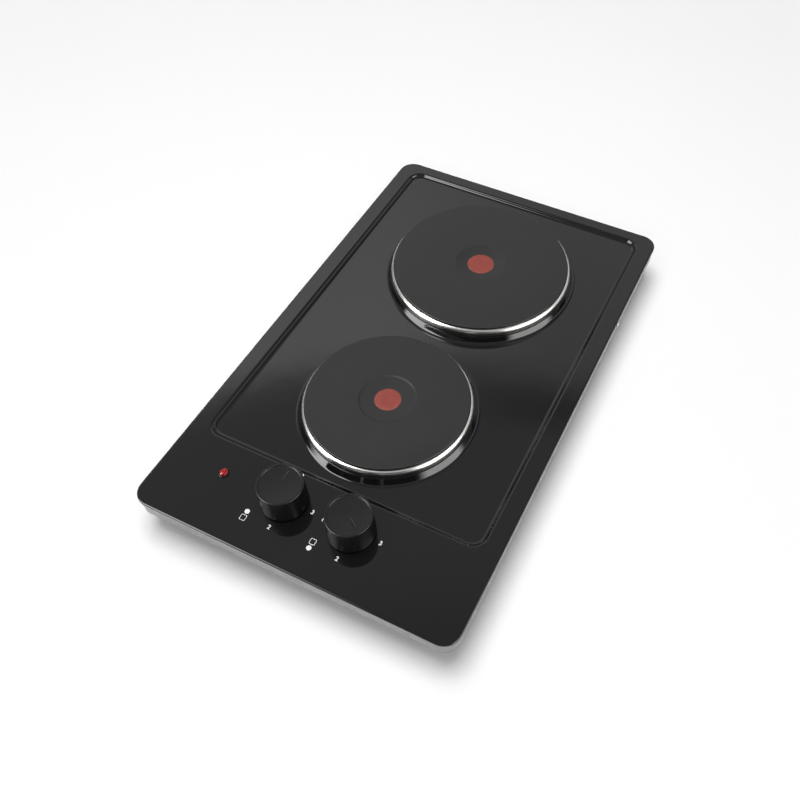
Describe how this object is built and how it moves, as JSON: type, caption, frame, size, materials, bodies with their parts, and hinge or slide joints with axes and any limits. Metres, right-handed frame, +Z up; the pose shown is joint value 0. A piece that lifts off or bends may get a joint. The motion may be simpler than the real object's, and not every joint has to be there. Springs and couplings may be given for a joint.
{
  "type": "two-plate electric hob",
  "caption": "Narrow built-in electric hob: black enamelled top, sealed cast-iron hotplates with steel spill rings, rotary knobs, a pilot lamp and a stepped galvanised pan.",
  "frame": {"origin": "centre of the hob's outline, on the underside of the pan", "axes": "+X to the right, +Y to the back, +Z up; the control panel is at -Y"},
  "size_m": [0.31, 0.51, 0.0751],
  "materials": {
    "enamel_black": "glossy black vitreous enamel",
    "galvanised": "satin galvanised sheet",
    "cast_iron": "matte black-painted cast iron, finely turned",
    "stainless": "bright rolled stainless",
    "zinc_steel": "zinc plated",
    "spring_steel": "satin spring steel",
    "heating_wire": "oxidised resistance wire",
    "magnesia": "pressed magnesia",
    "ceramic": "unglazed steatite",
    "phenolic": "moulded phenolic",
    "brass": "plain brass",
    "knob_black": "satin black moulded plastic",
    "lens_red": "glossy red lens",
    "foam": "closed-cell foam",
    "rubber": "black rubber",
    "lead_sleeve": "woven glass-fibre sleeve",
    "dot_red": "matte red heat-proof paint",
    "print_white": "white screen print"
  },
  "bodies": {
    "root": {"hob_top": "enamel_black", "body_pan": "galvanised", "worktop_gasket": "foam", "case_screw_1": "zinc_steel", "case_screw_2": "zinc_steel", "fixing_spring_screw_1": "zinc_steel", "fixing_spring_screw_2": "zinc_steel", "fixing_spring_screw_3": "zinc_steel", "fixing_spring_screw_4": "zinc_steel", "fixing_spring_1": "spring_steel", "fixing_spring_2": "spring_steel", "fixing_spring_3": "spring_steel", "fixing_spring_4": "spring_steel", "cable_gland": "rubber", "rear_plate": "cast_iron", "rear_spill_ring": "stainless", "rear_heating_coil": "heating_wire", "rear_insulation": "magnesia", "rear_plate_cover": "zinc_steel", "rear_centre_stud": "zinc_steel", "rear_clamp_bar": "zinc_steel", "rear_stud_nut": "zinc_steel", "rear_thermal_cutout": "zinc_steel", "rear_plate_terminal": "ceramic", "front_plate": "cast_iron", "front_spill_ring": "stainless", "front_heating_coil": "heating_wire", "front_insulation": "magnesia", "front_plate_cover": "zinc_steel", "front_centre_stud": "zinc_steel", "front_clamp_bar": "zinc_steel", "front_stud_nut": "zinc_steel", "front_thermal_cutout": "zinc_steel", "front_plate_terminal": "ceramic", "switch_bracket": "zinc_steel", "bracket_nut_1": "zinc_steel", "bracket_nut_2": "zinc_steel", "switch_screw_1": "zinc_steel", "switch_screw_2": "zinc_steel", "switch_screw_3": "zinc_steel", "switch_screw_4": "zinc_steel", "left_switch_body": "phenolic", "left_switch_terminal": "brass", "right_switch_body": "phenolic", "right_switch_terminal": "brass", "lamp_lens": "lens_red", "lamp_body": "ceramic", "mains_terminal_block": "ceramic", "earth_screw": "brass", "supply_lead": "lead_sleeve", "bridge_lead": "lead_sleeve", "rear_plate_lead": "lead_sleeve", "front_plate_lead": "lead_sleeve", "lamp_lead": "lead_sleeve"},
    "left_control": {"left_switch_cam": "phenolic", "left_knob": "knob_black", "left_knob_clip": "spring_steel"},
    "right_control": {"right_switch_cam": "phenolic", "right_knob": "knob_black", "right_knob_clip": "spring_steel"}
  },
  "joints": [
    {"name": "left_knob_turn", "type": "hinge", "parent": "root", "child": "left_control", "pos_m": [-0.033, -0.199, 0.047], "axis": [0, 0, 1], "range_deg": [0, 270]},
    {"name": "right_knob_turn", "type": "hinge", "parent": "root", "child": "right_control", "pos_m": [0.033, -0.199, 0.047], "axis": [0, 0, 1], "range_deg": [-234, 36]}
  ]
}
